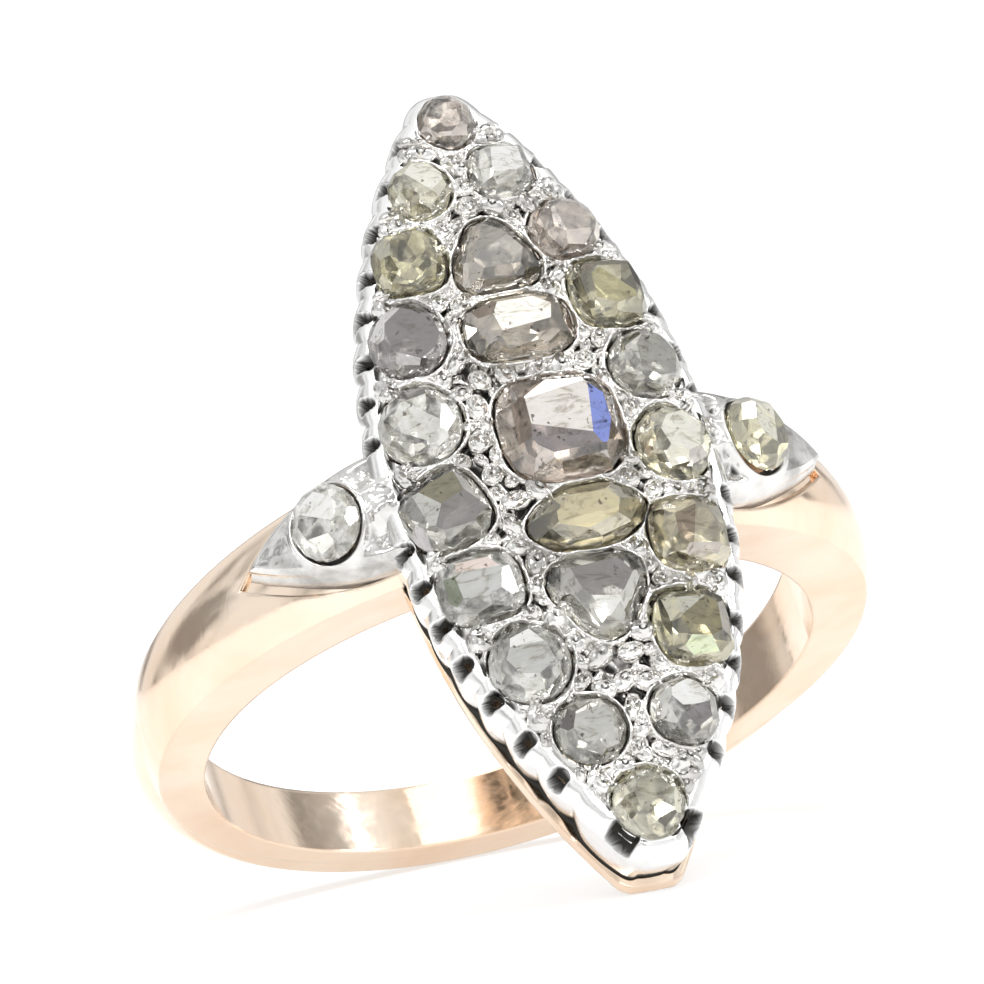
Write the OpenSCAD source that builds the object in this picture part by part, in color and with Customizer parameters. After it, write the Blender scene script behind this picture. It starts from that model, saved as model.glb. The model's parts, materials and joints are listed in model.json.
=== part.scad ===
// Old navette cluster ring in rose gold and silver, set with rose-cut diamonds.
// It is built in ring axes: X across the finger, Y along the finger, Z out through the head.
// The last step lays it on its side, resting on one tip of the head and the back of the band.

/* [Band] */
// Radius of the finger hole
finger_r = 8.6; // [7.5:0.05:10.5]
// Outer radius at the back of the band
back_r = 10.3; // [9.4:0.05:12]
// Width of the band at its back
back_w = 1.87; // [1.4:0.01:3]
// Thickness left at the edges of the band's back
back_edge = 1.12; // [0.6:0.01:1.6]
// Width of the shoulders where they meet the head
shoulder_w = 3.5; // [2.5:0.1:5]
// Outer radius of the shoulders
shoulder_r = 10.3; // [9.6:0.05:12]
// How far the centre of the shoulders' curve lies towards the head
shoulder_rise = 1; // [0:0.05:1.5]
// How much the shoulders' crown falls at its edges
shoulder_fall = 0.7; // [0.2:0.05:1]

/* [Head] */
// Length of the head, measured to its sharp tips
head_l = 25.3; // [18:0.1:30]
// Width of the head
head_w = 9.67; // [6:0.01:14]
// Distance of the head's blunt tips from its middle
head_tip = 11.95; // [9:0.05:15]
// How far the head is turned on the band
head_turn = -1.5; // [-5:0.5:5]
// Thickness of the gold back plate
plate_t = 0.35; // [0.3:0.05:0.8]
// Length of the gold back plate, measured to its sharp tips
plate_l = 25.8; // [18:0.1:30]
// Distance of the plate's worn tips from its middle
plate_tip = 11.8; // [9:0.05:15]
// Radius to which the plate's tips are rounded
plate_tip_r = 1.45; // [1.2:0.05:2]
// How much the rounded tips are worn off, so that the ring lies steady on them
plate_wear = 0.12; // [0.05:0.01:0.2]
// Width of the gold back plate
plate_w = 8.7; // [6:0.05:14]
// Diameter of the holes in the plate behind the stones
plate_hole = 1.7; // [0.8:0.1:2]
// Height of the silver wall's edge above the back plate
wall_h = 1.98; // [1:0.01:3]
// How far the silver wall leans out over its height
wall_lean = 0.45; // [0:0.05:1]
// Thickness of the silver wall
wall_t = 0.45; // [0.3:0.05:0.8]
// Height of the head's crown above the wall's edge
crown_h = 0.84; // [0.3:0.01:1.5]
// Thickness of the silver under the crown, which is hollow below that
crown_t = 0.75; // [0.65:0.05:1.2]
// Radius of the crown across the head
crown_r = 14; // [8:0.5:40]
// Radius of the crown along the head
crown_long_r = 75; // [40:1:200]
// Spacing of the piercings along the wall
pierce_step = 1.27; // [1:0.01:1.6]
// Distance of the first piercing from the head's middle
pierce_first = 1.65; // [1:0.05:2.5]
// Width of a piercing
pierce_w = 0.4; // [0.2:0.02:0.6]
// Radius of the scallops along the wall's foot
scallop_r = 0.3; // [0.15:0.01:0.5]
// Radius of the silver grains
grain_r = 0.3; // [0.15:0.01:0.45]

/* [Shoulder caps] */
// Length of a cap from the head's middle to its point
cap_reach = 8.2; // [7:0.05:9.5]
// Width of a cap where it meets the head
cap_w = 3.2; // [2.5:0.1:4.5]
// How far the caps sit off the middle of the band
cap_shift = 0.15; // [-0.5:0.05:0.5]
// Outer radius of the caps
cap_r = 10.4; // [9.5:0.05:12]
// How far the centre of the caps' curve lies towards the head
cap_rise = 1.85; // [0.5:0.05:2.5]
// How much a cap's crown falls at its edges
cap_fall = 0.5; // [0.1:0.05:0.6]
// How deep the caps are let into the shoulders
cap_sink = 0.1; // [0.05:0.05:0.3]

/* [Stones] */
// Depth of a stone below its girdle
stone_depth = 0.5; // [0.3:0.05:0.8]
// Number of sides of a stone
stone_sides = 10; // [8:1:16]
// Part of a stone's width that its table takes
table_part = 0.46; // [0.3:0.01:0.7]
// Gap between a stone and its seat, and between the metal pieces
gap = 0.04; // [0.02:0.01:0.1]

/* [Hidden] */
// Columns: node name, across the head, along the head, width, length, turn, outline, rise
STONES = [
    ["stone_tip_upper",    -0.05,  10.80, 1.60, 1.70,   0, "round",   0.60],
    ["stone_left_1",       -1.38,   8.78, 1.70, 1.80,   0, "round",   0.70],
    ["stone_left_2",       -2.27,   6.62, 1.95, 2.00,   0, "cushion", 0.70],
    ["stone_left_3",       -2.93,   4.28, 2.15, 2.25,   0, "round",   0.75],
    ["stone_left_4",       -3.25,   1.70, 2.30, 2.35,   0, "round",   0.75],
    ["stone_left_5",       -3.28,  -0.98, 2.30, 2.30,  20, "cushion", 0.75],
    ["stone_left_6",       -2.94,  -3.42, 2.35, 2.05,   0, "cushion", 0.75],
    ["stone_left_7",       -2.22,  -5.88, 2.25, 2.30,   0, "round",   0.80],
    ["stone_left_8",       -1.12,  -8.12, 1.95, 1.95,   0, "round",   0.70],
    ["stone_tip_lower",    -0.08, -10.42, 2.00, 2.00,   0, "round",   0.75],
    ["stone_right_8",       1.55,  -8.02, 1.95, 1.95,  10, "round",   0.70],
    ["stone_right_7",       2.42,  -5.63, 2.20, 2.30,   0, "cushion", 0.75],
    ["stone_right_6",       3.05,  -2.90, 2.25, 2.15,   0, "cushion", 0.80],
    ["stone_right_5",       3.35,  -0.12, 2.15, 2.25,   0, "round",   0.75],
    ["stone_right_4",       3.21,   2.36, 2.05, 2.10,   0, "round",   0.75],
    ["stone_right_3",       2.80,   4.67, 2.10, 2.10,   0, "cushion", 0.75],
    ["stone_right_2",       2.17,   6.84, 2.00, 1.90,   0, "round",   0.75],
    ["stone_right_1",       0.97,   8.95, 1.75, 1.60,   0, "cushion", 0.70],
    ["stone_centre_pear",   0.00,   6.20, 2.30, 2.30,  90, "trillion", 0.70],
    ["stone_centre_upper",  0.05,   3.95, 3.00, 1.95,   0, "cushion", 0.80],
    ["stone_centre_main",   0.34,   0.75, 3.40, 3.20,   0, "cushion", 1.00],
    ["stone_centre_lower",  0.36,  -2.03, 3.40, 1.85,   6, "round",   0.80],
    ["stone_centre_drop",   0.12,  -4.25, 2.50, 2.60, -90, "trillion", 0.80]
];
// Columns: node name, degrees down the shoulder from the head's middle
CAP_STONES = [
    ["stone_shoulder_left", -36.5],
    ["stone_shoulder_right", 35]
];
// Width, length and rise of a shoulder stone
CAP_STONE_W = 2.0;
CAP_STONE_L = 2.2;
CAP_STONE_RISE = 0.65;
// How far out the plate's holes lie, as parts of the stones' places across and along the head
HOLE_IN = 0.8;
HOLE_UP = 0.93;
// Number of border stones, which come first in the table and in order round the head
BORDER_STONES = 18;

GOLD = [0.93, 0.74, 0.60];
SILVER = [0.80, 0.80, 0.79];
DIAMOND = [0.86, 0.83, 0.76];
FINE = 360;
SMALL = 48;
// Length by which a cutting shape passes the surface it cuts
OVER = 1;

// The plate lies just clear of the finger hole, and the silver wall stands on it
plate_z = finger_r + 0.08;
wall_z = plate_z + plate_t + gap / 2;
crown_z = wall_z + wall_h + crown_h;

// Radius and centre of the two arcs that make a navette outline
function navette_r(l, w) = (l * l / 4 + w * w / 4) / w;
wall_arc_r = navette_r(head_l, head_w);
wall_arc_x = wall_arc_r - head_w / 2;

// Radius of an arc that falls by fall over a half width
function fall_r(half, fall) = (half * half + fall * fall) / (2 * fall);

// Height of the crown over a point of the head
function crown_at(u, v) = crown_z - (crown_r - sqrt(crown_r * crown_r - u * u))
    - (crown_long_r - sqrt(crown_long_r * crown_long_r - v * v));

// Half width of the wall at a distance along the head
function wall_u(v) = sqrt(wall_arc_r * wall_arc_r - v * v) - wall_arc_x;

// Lie of the ring: the plate's tip and the round back edge of the band touch the table
back_half = back_w / 2;
back_arc_r = fall_r(back_half, back_r - finger_r - back_edge);
back_arc_z = back_r - back_arc_r;
tip_y = plate_tip * cos(head_turn);
lie_reach = norm([tip_y, plate_z + back_arc_z]);
lie_tilt = asin(tip_y / lie_reach) - asin(back_arc_r / lie_reach);
rest_z = back_arc_z * sin(lie_tilt) + back_arc_r;
front_y = -head_tip * sin(lie_tilt) - crown_at(0, head_tip) * cos(lie_tilt);
back_y = back_arc_z * cos(lie_tilt) + back_arc_r;

// A flat D section for rotate_extrude, from inside the finger hole to its crown
module crown_section(outer, half, fall) {
    arc_r = fall_r(half, fall);
    intersection() {
        translate([finger_r - OVER, -half])
            square([outer - finger_r + OVER, 2 * half]);
        union() {
            translate([outer - arc_r, 0])
                circle(r = arc_r, $fn = FINE);
            translate([finger_r - OVER, -half])
                square([outer - fall - finger_r + OVER, 2 * half]);
        }
    }
}

// A section swept about the finger's axis
module about_finger() {
    rotate([-90, 0, 0])
        rotate_extrude($fn = FINE)
            children();
}

module finger_hole() {
    rotate([90, 0, 0])
        cylinder(h = 2 * shoulder_r, r = finger_r, center = true, $fn = FINE);
}

// Cuts the ring to a width that grows from its back to the head
module band_flanks() {
    grow = (shoulder_w - back_w) / 2;
    span = back_r + finger_r;
    flank_r = fall_r(span, grow);
    for (side = [-1, 1])
        translate([0, side * (back_half + flank_r), -back_r])
            rotate([0, 90, 0])
                cylinder(h = 3 * back_r, r = flank_r, center = true, $fn = 4 * FINE);
}

// The shoulders' curve, with its outer surface moved out by a distance
module shoulder_ring(out) {
    half = shoulder_w / 2 + OVER / 2;
    fall = shoulder_fall * (half * half) / (shoulder_w * shoulder_w / 4);
    translate([0, 0, shoulder_rise])
        about_finger()
            crown_section(shoulder_r + out, half, fall);
}

// The back plate, a navette with a hole behind each stone that the band leaves free. Its tips
// are rounded, and worn to a flatter arc about its middle
module back_plate() {
    arc_r = navette_r(plate_l, plate_w);
    round_v = plate_tip + plate_wear - plate_tip_r;
    linear_extrude(height = plate_t)
        difference() {
            intersection() {
                circle(r = plate_tip, $fn = FINE);
                union() {
                    square([2 * plate_w, 2 * round_v + plate_tip_r], center = true);
                    for (end = [-1, 1])
                        translate([0, end * round_v])
                            circle(r = plate_tip_r, $fn = FINE);
                }
                translate([plate_w / 2 - arc_r, 0])
                    circle(r = arc_r, $fn = FINE);
                translate([arc_r - plate_w / 2, 0])
                    circle(r = arc_r, $fn = FINE);
            }
            for (row = STONES)
                if (abs(row[2]) > shoulder_w / 2 + plate_hole / 2)
                    translate([HOLE_IN * row[1], HOLE_UP * row[2]])
                        circle(d = plate_hole, $fn = SMALL);
        }
}

// The silver wall's outer form from below its foot up, moved out by a distance
module wall_form(out, below, h) {
    lean = wall_lean / wall_h;
    foot_r = wall_arc_r - wall_lean + out;
    translate([0, 0, wall_z - below])
        intersection() {
            cylinder(h = below + h, r = head_tip + out, $fn = FINE);
            wall_side(-1, foot_r - lean * below, foot_r + lean * h, below + h);
            wall_side(1, foot_r - lean * below, foot_r + lean * h, below + h);
        }
}

// One of the two leaning rounds that make the wall
module wall_side(side, low_r, high_r, h) {
    translate([side * wall_arc_x, 0, 0])
        cylinder(h = h, r1 = low_r, r2 = high_r, $fn = FINE);
}

// The crown's long round back, as part of a torus that lies across the head
module crown_form() {
    sweep = 24;
    translate([0, 0, crown_z - crown_long_r])
        rotate([0, -90, 0])
            rotate([0, 0, -sweep / 2])
                rotate_extrude(angle = sweep, $fn = 2 * FINE)
                    translate([crown_long_r - crown_r, 0])
                        circle(r = crown_r, $fn = FINE);
}

// Leaf outline of both caps, standing up through the shoulders
module cap_leaf(out) {
    middle = wall_u(0);
    reach = cap_reach - middle + out;
    arc_r = fall_r(reach, cap_w / 2 + out);
    for (side = [-1, 1])
        translate([side * middle, cap_shift, 0])
            linear_extrude(height = cap_r + 2 * OVER)
                intersection_for (edge = [-1, 1])
                    translate([0, edge * (arc_r - cap_w / 2 - out)])
                        circle(r = arc_r, $fn = FINE);
}

// Places a child on the crown, square to it
module on_crown(u, v) {
    translate([u, v, crown_at(u, v)])
        rotate([-asin(v / crown_long_r), asin(u / crown_r), 0])
            children();
}

// Places a child on a shoulder cap, square to it
module on_cap(angle) {
    translate([0, cap_shift, cap_rise])
        rotate([0, angle, 0])
            translate([0, 0, cap_r])
                children();
}

// Places a child on the outside of the wall at a distance along it, X pointing out
module on_wall(side, v, z) {
    out_angle = asin(v / wall_arc_r);
    translate([side * wall_u(v), v, z])
        rotate([0, 0, side > 0 ? out_angle : 180 - out_angle])
            children();
}

// Distances along the head of the piercings, and of the scallops between them
function pierce_rows() = [for (k = [0:6], end = [-1, 1]) end * (pierce_first + k * pierce_step)];
function scallop_rows() = [for (k = [0:6], end = [-1, 1]) end * (pierce_first + (k + 0.5) * pierce_step)];

// Radius of a stone's outline in a direction, with 1 as its mean
function outline_r(kind, a) =
    kind == "trillion" ? 1.0 + 0.13 * cos(3 * a) :
    kind == "cushion" ? 1 / pow(pow(abs(cos(a)), 3) + pow(abs(sin(a)), 3), 1 / 3) : 1;

// One ring of a stone's corners: scale, height, shift by part of a side
function stone_ring(w, l, kind, part, z, shift) = [for (k = [0:stone_sides - 1])
    let (a = 360 * (k + shift) / stone_sides, r = part * outline_r(kind, a))
    [w / 2 * r * cos(a), l / 2 * r * sin(a), z]];

// A cut stone: a tapered base, a girdle, two rows of facets and a flat table
module cut_stone(w, l, kind, rise) {
    n = stone_sides;
    rings = [
        stone_ring(w, l, kind, 0.84, -stone_depth, 0),
        stone_ring(w, l, kind, 1.00, 0, 0),
        stone_ring(w, l, kind, 0.80, 0.62 * rise, 0.5),
        stone_ring(w, l, kind, table_part, rise, 0)
    ];
    points = [for (ring = rings) each ring];
    bands = [for (k = [0:n - 1]) let (j = (k + 1) % n) each [
        [k, k + n, j + n, j],
        [k + n, k + 2 * n, j + n],
        [j + n, k + 2 * n, j + 2 * n],
        [k + 2 * n, j + 3 * n, j + 2 * n],
        [k + 2 * n, k + 3 * n, j + 3 * n]
    ]];
    base = [for (k = [0:n - 1]) k];
    table = [for (k = [n - 1:-1:0]) k + 3 * n];
    polyhedron(points, concat([base], bands, [table]), convexity = 4);
}

// The hole that a stone drops into
module stone_seat(w, l, kind) {
    translate([0, 0, -stone_depth - gap])
        linear_extrude(height = stone_depth + 2 * OVER)
            polygon([for (p = stone_ring(w + 2 * gap, l + 2 * gap, kind, 1, 0, 0)) [p[0], p[1]]]);
}

// Grains between neighbouring border stones, on the inner side of the row
module grains() {
    for (k = [0:BORDER_STONES - 1]) {
        a = STONES[k];
        b = STONES[(k + 1) % BORDER_STONES];
        mid = [(a[1] + b[1]) / 2, (a[2] + b[2]) / 2];
        inward = [a[2] - b[2], b[1] - a[1]] / norm([b[1] - a[1], b[2] - a[2]]);
        for (reach = [-0.72, 0.8]) {
            spot = mid + reach * inward;
            on_crown(spot[0], spot[1])
                sphere(r = grain_r, $fn = SMALL);
        }
    }
}

module piercing() {
    tall = 0.7 * pierce_w;
    rotate([0, -90, 0])
        translate([0, 0, -OVER / 2])
            linear_extrude(height = OVER + OVER / 2)
                union() {
                    square([2 * tall, pierce_w], center = true);
                    for (end = [-1, 1])
                        translate([end * tall, 0])
                            circle(d = pierce_w, $fn = SMALL);
                }
}

module scallop() {
    rotate([0, -90, 0])
        translate([0, 0, -OVER / 2])
            cylinder(h = OVER, r = scallop_r, $fn = SMALL);
}

// Turns the head's parts on the band
module turned() {
    rotate([0, 0, head_turn])
        children();
}

// Lays the finished ring on its side with its base at height zero
module laid_down() {
    translate([0, -(front_y + back_y) / 2, rest_z])
        rotate([90 - lie_tilt, 0, 0])
            children();
}

// Rose gold: the band, its shoulders and the head's back plate
module shank() {
    color(GOLD)
        laid_down()
            difference() {
                union() {
                    difference() {
                        union() {
                            about_finger()
                                crown_section(back_r, back_half, back_r - finger_r - back_edge);
                            difference() {
                                shoulder_ring(0);
                                band_flanks();
                            }
                        }
                        turned()
                            wall_form(gap, gap / 2, cap_r);
                        intersection() {
                            cap_leaf(gap);
                            difference() {
                                shoulder_ring(OVER);
                                shoulder_ring(-cap_sink - gap);
                            }
                        }
                    }
                    turned()
                        translate([0, 0, plate_z])
                            back_plate();
                }
                finger_hole();
            }
}

// Silver: the head's pierced wall and crown with a seat for every stone
module setting() {
    pierce_z = wall_z + wall_h - 0.65;
    color(SILVER)
        laid_down()
            turned()
                difference() {
                    union() {
                        intersection() {
                            wall_form(0, 0, 2 * wall_h);
                            crown_form();
                        }
                        grains();
                    }
                    intersection() {
                        wall_form(-wall_t, OVER, 2 * wall_h);
                        translate([0, 0, -crown_t])
                            crown_form();
                    }
                    for (row = STONES)
                        on_crown(row[1], row[2])
                            rotate([0, 0, row[5]])
                                stone_seat(row[3], row[4], row[6]);
                    for (side = [-1, 1], v = pierce_rows())
                        on_wall(side, v, pierce_z)
                            piercing();
                    for (side = [-1, 1], v = scallop_rows())
                        on_wall(side, v, wall_z)
                            scallop();
                }
}

// Silver: one leaf-shaped cap on a shoulder
module shoulder_cap(side) {
    color(SILVER)
        laid_down()
            difference() {
                intersection() {
                    cap_leaf(0);
                    difference() {
                        translate([0, cap_shift, cap_rise])
                            about_finger()
                                crown_section(cap_r, cap_w / 2 + gap, cap_fall);
                        shoulder_ring(-cap_sink);
                    }
                    translate([side > 0 ? 0 : -back_r, -cap_w, cap_rise])
                        cube([back_r, 2 * cap_w, 2 * back_r]);
                }
                turned()
                    wall_form(2 * gap, OVER, cap_r);
                for (row = CAP_STONES)
                    on_cap(row[1])
                        stone_seat(CAP_STONE_W, CAP_STONE_L, "round");
            }
}

// One stone of the head
module head_stone(row) {
    color(DIAMOND)
        laid_down()
            turned()
                on_crown(row[1], row[2])
                    rotate([0, 0, row[5]])
                        cut_stone(row[3], row[4], row[6], row[7]);
}

// The stone of one shoulder cap
module cap_stone(row) {
    color(DIAMOND)
        laid_down()
            on_cap(row[1])
                cut_stone(CAP_STONE_W, CAP_STONE_L, "round", CAP_STONE_RISE);
}

shank();
setting();
shoulder_cap(-1);  // shoulder_cap_left
shoulder_cap(1);  // shoulder_cap_right
for (row = STONES)
    head_stone(row);
for (row = CAP_STONES)
    cap_stone(row);
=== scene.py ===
"""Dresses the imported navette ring: worn silver, tinted old-cut diamonds and polished rose gold.

Shapes are worked out in ring axes in millimetres: u across the finger, v along the finger and along the
head, w out through the head. place() turns them into the frame's metres.
"""

import functools
import itertools
import json
import math
import random

import bmesh
import bpy
import numpy as np
from mathutils import Matrix, Vector


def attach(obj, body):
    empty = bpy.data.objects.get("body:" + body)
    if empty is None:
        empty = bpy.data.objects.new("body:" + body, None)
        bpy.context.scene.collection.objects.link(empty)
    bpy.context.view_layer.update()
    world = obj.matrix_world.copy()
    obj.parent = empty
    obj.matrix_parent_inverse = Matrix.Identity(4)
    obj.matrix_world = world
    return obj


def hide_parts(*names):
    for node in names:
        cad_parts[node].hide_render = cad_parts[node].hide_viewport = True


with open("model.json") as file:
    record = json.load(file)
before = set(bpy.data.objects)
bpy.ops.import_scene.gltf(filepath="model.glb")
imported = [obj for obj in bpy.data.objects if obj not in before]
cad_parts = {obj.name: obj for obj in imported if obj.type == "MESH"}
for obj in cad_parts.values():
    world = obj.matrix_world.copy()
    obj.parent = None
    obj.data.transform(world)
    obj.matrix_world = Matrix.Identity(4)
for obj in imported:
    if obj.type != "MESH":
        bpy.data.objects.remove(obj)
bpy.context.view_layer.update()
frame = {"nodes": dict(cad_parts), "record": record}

# Driving dimensions, in millimetres and degrees
# The finger hole, the gold plate's place over it, its thickness, and the gap that stands in for solder
FINGER_R = 8.6
PLATE_CLEAR = 0.08
PLATE_T = 0.35
GAP = 0.04
# The head: length to its sharp tips, width, distance of its blunt tips, turn on the band
HEAD_L = 25.3
HEAD_W = 9.67
HEAD_TIP = 11.95
HEAD_TURN = -1.5
# The wall's height and how far it leans out, the crown's rise over it and its radii across and along
WALL_H = 1.98
WALL_LEAN = 0.45
CROWN_H = 0.84
CROWN_R = 14.0
CROWN_LONG_R = 75.0
# The wall's piercings: spacing, distance of the first from the middle, width
PIERCE_STEP = 1.27
PIERCE_FIRST = 1.65
PIERCE_W = 0.40
# The shoulder caps: reach across the finger, width, shift along it, radius, its middle's height, fall
CAP_REACH = 8.2
CAP_W = 3.2
CAP_SHIFT = 0.15
CAP_R = 10.4
CAP_RISE = 1.85
CAP_FALL = 0.5

PLATE_Z = FINGER_R + PLATE_CLEAR
WALL_Z = PLATE_Z + PLATE_T + GAP / 2
CROWN_Z = WALL_Z + WALL_H + CROWN_H
WALL_ARC_R = (HEAD_L**2 + HEAD_W**2) / (4 * HEAD_W)
WALL_ARC_X = WALL_ARC_R - HEAD_W / 2

# Stones: node, across, along, width, length, turn, outline, rise, tint, milkiness
STONES = [
    ("stone_tip_upper",    -0.05,  10.80, 1.60, 1.70,   0, "round",    0.60, "rosy",   0.55),
    ("stone_left_1",       -1.38,   8.78, 1.70, 1.80,   0, "round",    0.70, "cream",  0.50),
    ("stone_left_2",       -2.27,   6.62, 1.95, 2.00,   0, "cushion",  0.70, "olive",  0.40),
    ("stone_left_3",       -2.93,   4.28, 2.15, 2.25,   0, "round",    0.75, "violet", 0.20),
    ("stone_left_4",       -3.25,   1.70, 2.30, 2.35,   0, "round",    0.75, "pale",   0.60),
    ("stone_left_5",       -3.28,  -0.98, 2.30, 2.30,  20, "cushion",  0.75, "grey",   0.20),
    ("stone_left_6",       -2.94,  -3.42, 2.35, 2.05,   0, "cushion",  0.75, "pale",   0.65),
    ("stone_left_7",       -2.22,  -5.88, 2.25, 2.30,   0, "round",    0.80, "pale",   0.60),
    ("stone_left_8",       -1.12,  -8.12, 1.95, 1.95,   0, "round",    0.70, "grey",   0.35),
    ("stone_tip_lower",    -0.08, -10.42, 2.00, 2.00,   0, "round",    0.75, "cream",  0.60),
    ("stone_right_8",       1.55,  -8.02, 1.95, 1.95,  10, "round",    0.70, "pale",   0.50),
    ("stone_right_7",       2.42,  -5.63, 2.20, 2.30,   0, "cushion",  0.75, "olive",  0.30),
    ("stone_right_6",       3.05,  -2.90, 2.25, 2.15,   0, "cushion",  0.80, "amber",  0.30),
    ("stone_right_5",       3.35,  -0.12, 2.15, 2.25,   0, "round",    0.75, "cream",  0.50),
    ("stone_right_4",       3.21,   2.36, 2.05, 2.10,   0, "round",    0.75, "grey",   0.60),
    ("stone_right_3",       2.80,   4.67, 2.10, 2.10,   0, "cushion",  0.75, "olive",  0.10),
    ("stone_right_2",       2.17,   6.84, 2.00, 1.90,   0, "round",    0.75, "rosy",   0.55),
    ("stone_right_1",       0.97,   8.95, 1.75, 1.60,   0, "cushion",  0.70, "pale",   0.60),
    ("stone_centre_pear",   0.00,   6.20, 2.30, 2.30,  90, "trillion", 0.70, "taupe",  0.35),
    ("stone_centre_upper",  0.05,   3.95, 3.00, 1.95,   0, "cushion",  0.80, "taupe",  0.35),
    ("stone_centre_main",   0.34,   0.75, 3.40, 3.20,   0, "cushion",  1.00, "rosy",   0.30),
    ("stone_centre_lower",  0.36,  -2.03, 3.40, 1.85,   6, "round",    0.80, "amber",  0.20),
    ("stone_centre_drop",   0.12,  -4.25, 2.50, 2.60, -90, "trillion", 0.80, "grey",   0.30),
]
# The first rows go once around the border
BORDER_STONES = 18
# Shoulder stones: node, degrees down the shoulder, tint, milkiness
CAP_STONES = [
    ("stone_shoulder_left",  -36.5, "pale",  0.65),
    ("stone_shoulder_right",  35.0, "olive", 0.25),
]
CAP_STONE = dict(width=2.0, length=2.2, rise=0.65)
# Depth of a stone below its girdle, and the number of its lowest facets
STONE_DEPTH = 0.5
STONE_SIDES = 10
# Share of a stone's half width that its table takes
TABLE_PART = 0.50
MAIN_TABLE_PART = 0.60
# Painted reflections on single facets: colour and how much of it is a mirror; white is a painted flash,
# dark painted shade, blue and rainbow painted fire
PAINTED_TONES = {
    "white":  ((1.00, 1.00, 1.00), 0.95),
    "light":  ((0.70, 0.70, 0.69), 0.90),
    "pearl":  ((0.49, 0.49, 0.49), 0.95),
    "slate":  ((0.42, 0.40, 0.42), 0.65),
    "lilac":  ((0.64, 0.61, 0.64), 0.70),
    "moss":   ((0.30, 0.28, 0.18), 0.70),
    "khaki":  ((0.40, 0.37, 0.27), 0.75),
    "dark":   ((0.17, 0.16, 0.16), 0.65),
    "brown":  ((0.40, 0.33, 0.28), 0.60),
    "olive":  ((0.42, 0.39, 0.28), 0.60),
    "pink":   ((0.98, 0.84, 0.80), 0.90),
    "blue":   ((0.32, 0.42, 1.00), 0.90),
    "rainbow": ((0.78, 0.88, 0.72), 0.85),
}
# Facets with a painted reflection of their own, by stone: place on it across and along, tone
PAINTED_FACETS = {
    "stone_centre_main": [
        (0.00, 0.20, "pearl"), (0.00, 1.10, "white"), (0.85, 0.25, "blue"),
        (-1.20, 0.30, "brown"), (0.05, -0.90, "slate"), (1.25, -0.40, "brown")],
    "stone_left_1": [(0.00, 0.00, "white")],
    "stone_left_2": [(-0.55, 0.10, "light")],
    "stone_left_3": [(-0.67, 0.15, "white"), (0.05, 0.10, "dark")],
    "stone_left_4": [(0.14, 0.66, "white")],
    "stone_left_5": [
        (-0.53, 0.15, "light"), (0.40, -0.40, "dark"), (-0.90, -0.45, "lilac"),
        (0.35, 0.45, "olive")],
    "stone_left_6": [(0.10, 0.55, "pink"), (0.20, -0.20, "light"), (-0.80, -0.15, "rainbow")],
    "stone_left_7": [(0.04, 0.72, "white"), (-0.26, -0.10, "light")],
    "stone_left_8": [(0.23, 0.05, "light"), (-0.45, 0.34, "dark")],
    "stone_tip_lower": [(0.70, 0.50, "white"), (0.44, -0.54, "dark"), (-0.27, 0.75, "olive")],
    "stone_right_8": [(0.40, 0.40, "white"), (-0.32, 0.55, "light"), (0.00, -0.45, "slate")],
    "stone_right_7": [
        (0.09, 0.62, "light"), (-0.20, -0.20, "olive"), (0.80, 0.05, "lilac"),
        (0.07, -0.84, "rainbow")],
    "stone_right_6": [(-0.58, -0.12, "brown"), (0.40, -0.60, "lilac")],
    "stone_right_5": [(-0.15, 0.45, "white"), (0.40, -0.65, "lilac")],
    "stone_right_4": [(-0.25, 0.20, "light")],
    "stone_right_3": [(0.60, 0.50, "dark"), (-0.10, -0.10, "moss")],
    "stone_right_1": [(-0.20, 0.20, "white")],
    "stone_centre_upper": [(-0.98, 0.37, "brown"), (0.50, 0.20, "light"), (1.20, -0.10, "brown")],
    "stone_centre_lower": [(0.10, 0.10, "khaki"), (0.30, 0.70, "olive"), (1.30, -0.20, "khaki")],
    "stone_centre_drop": [(0.00, 0.20, "dark"), (0.85, -0.10, "white"), (-0.03, -1.05, "white")],
    "stone_shoulder_left": [(0.15, 0.30, "white")],
    "stone_shoulder_right": [(0.00, 0.20, "white")],
}
# Extra facets cut from the top, by stone: place across and along, lean across and along in degrees
EXTRA_FACETS = {
    "stone_centre_main": [(0.00, -0.45, 0, -12), (0.00, 0.85, 0, 14), (0.66, 0.20, 14, -4)],
    "stone_left_5": [(-0.08, 0.05, 8, 8), (-0.08, -0.05, 9, -9)],
    "stone_left_6": [(0.00, 0.25, 0, 12)],
    "stone_right_8": [(0.05, -0.05, 3, 12), (-0.20, 0.15, -14, 5), (0.00, -0.10, 2, -10)],
    "stone_right_7": [(0.00, 0.30, 0, 10)],
    "stone_left_7": [(0.00, 0.35, 2, 13)],
    "stone_centre_drop": [(0.55, -0.10, 13, 0)],
    "stone_tip_lower": [(0.20, -0.10, 6, -10)],
}
# Tint names to the colour of a stone's body
TINTS = {
    "pale":   (0.96, 0.95, 0.89),
    "grey":   (0.88, 0.87, 0.82),
    "violet": (0.84, 0.81, 0.80),
    "cream":  (0.96, 0.92, 0.77),
    "olive":  (0.88, 0.84, 0.64),
    "amber":  (0.93, 0.87, 0.68),
    "rosy":   (0.92, 0.83, 0.76),
    "taupe":  (0.84, 0.78, 0.69),
}

# The ring's middle and axes in the frame, from its finger mount
finger = next(m for m in frame["record"]["mounts"] if m["name"] == "finger")
HOOP = np.array(finger["pos_m"]) * 1000
AXIS_V = np.array(finger["axis"]) / np.linalg.norm(finger["axis"])
AXIS_U = np.array([1.0, 0.0, 0.0])
AXIS_W = np.cross(AXIS_U, AXIS_V)


def place(points):
    """Ring axes in millimetres to the frame's metres."""
    p = np.asarray(points, float).reshape(-1, 3)
    return (HOOP + p[:, :1] * AXIS_U + p[:, 1:2] * AXIS_V + p[:, 2:] * AXIS_W) / 1000


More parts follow.
